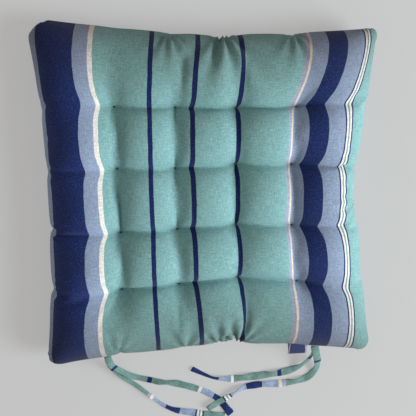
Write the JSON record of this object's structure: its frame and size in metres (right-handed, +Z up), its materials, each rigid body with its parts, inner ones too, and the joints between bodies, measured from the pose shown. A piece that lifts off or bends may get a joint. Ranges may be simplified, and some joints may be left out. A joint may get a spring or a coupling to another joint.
{
  "type": "chair seat pad",
  "caption": "Square striped seat pad, filled and quilted with thread tufts, with tie straps at its rear edge for fastening to a chair's back.",
  "frame": {"origin": "middle of the pad's underside, on the plane that the pad rests on", "axes": "+Z up, out of the pad's upper face; +Y towards the rear edge, which carries the ties; +X towards the left tie, on the side of the broad navy stripe"},
  "size_m": [0.4, 0.5016, 0.0602],
  "materials": {
    "cover_cloth": "plain-weave cotton canvas, woven in aqua, navy, grey-blue and cream stripes",
    "tie_cloth": "the cover's striped canvas, cut across the stripes, folded and edge-stitched",
    "fibre_filling": "loose polyester fibre, matt",
    "seam_thread": "polyester sewing thread",
    "tuft_thread": "waxed upholstery thread",
    "label_weave": "damask-woven polyester, plain navy"
  },
  "bodies": {
    "root": {"top_cover": "cover_cloth", "bottom_cover": "cover_cloth", "fibre_filling": "fibre_filling", "edge_seam_thread": "seam_thread", "closing_seam_thread": "seam_thread", "left_tie_fold": "tie_cloth", "left_tie_upper_tail": "tie_cloth", "left_tie_lower_tail": "tie_cloth", "right_tie_fold": "tie_cloth", "right_tie_upper_tail": "tie_cloth", "right_tie_lower_tail": "tie_cloth", "woven_label": "label_weave", "tuft_row_1_column_1": "tuft_thread", "tuft_row_1_column_2": "tuft_thread", "tuft_row_1_column_3": "tuft_thread", "tuft_row_1_column_4": "tuft_thread", "tuft_row_2_column_1": "tuft_thread", "tuft_row_2_column_2": "tuft_thread", "tuft_row_2_column_3": "tuft_thread", "tuft_row_2_column_4": "tuft_thread", "tuft_row_3_column_1": "tuft_thread", "tuft_row_3_column_2": "tuft_thread", "tuft_row_3_column_3": "tuft_thread", "tuft_row_3_column_4": "tuft_thread", "tuft_row_4_column_1": "tuft_thread", "tuft_row_4_column_2": "tuft_thread", "tuft_row_4_column_3": "tuft_thread", "tuft_row_4_column_4": "tuft_thread"}
  },
  "joints": []
}
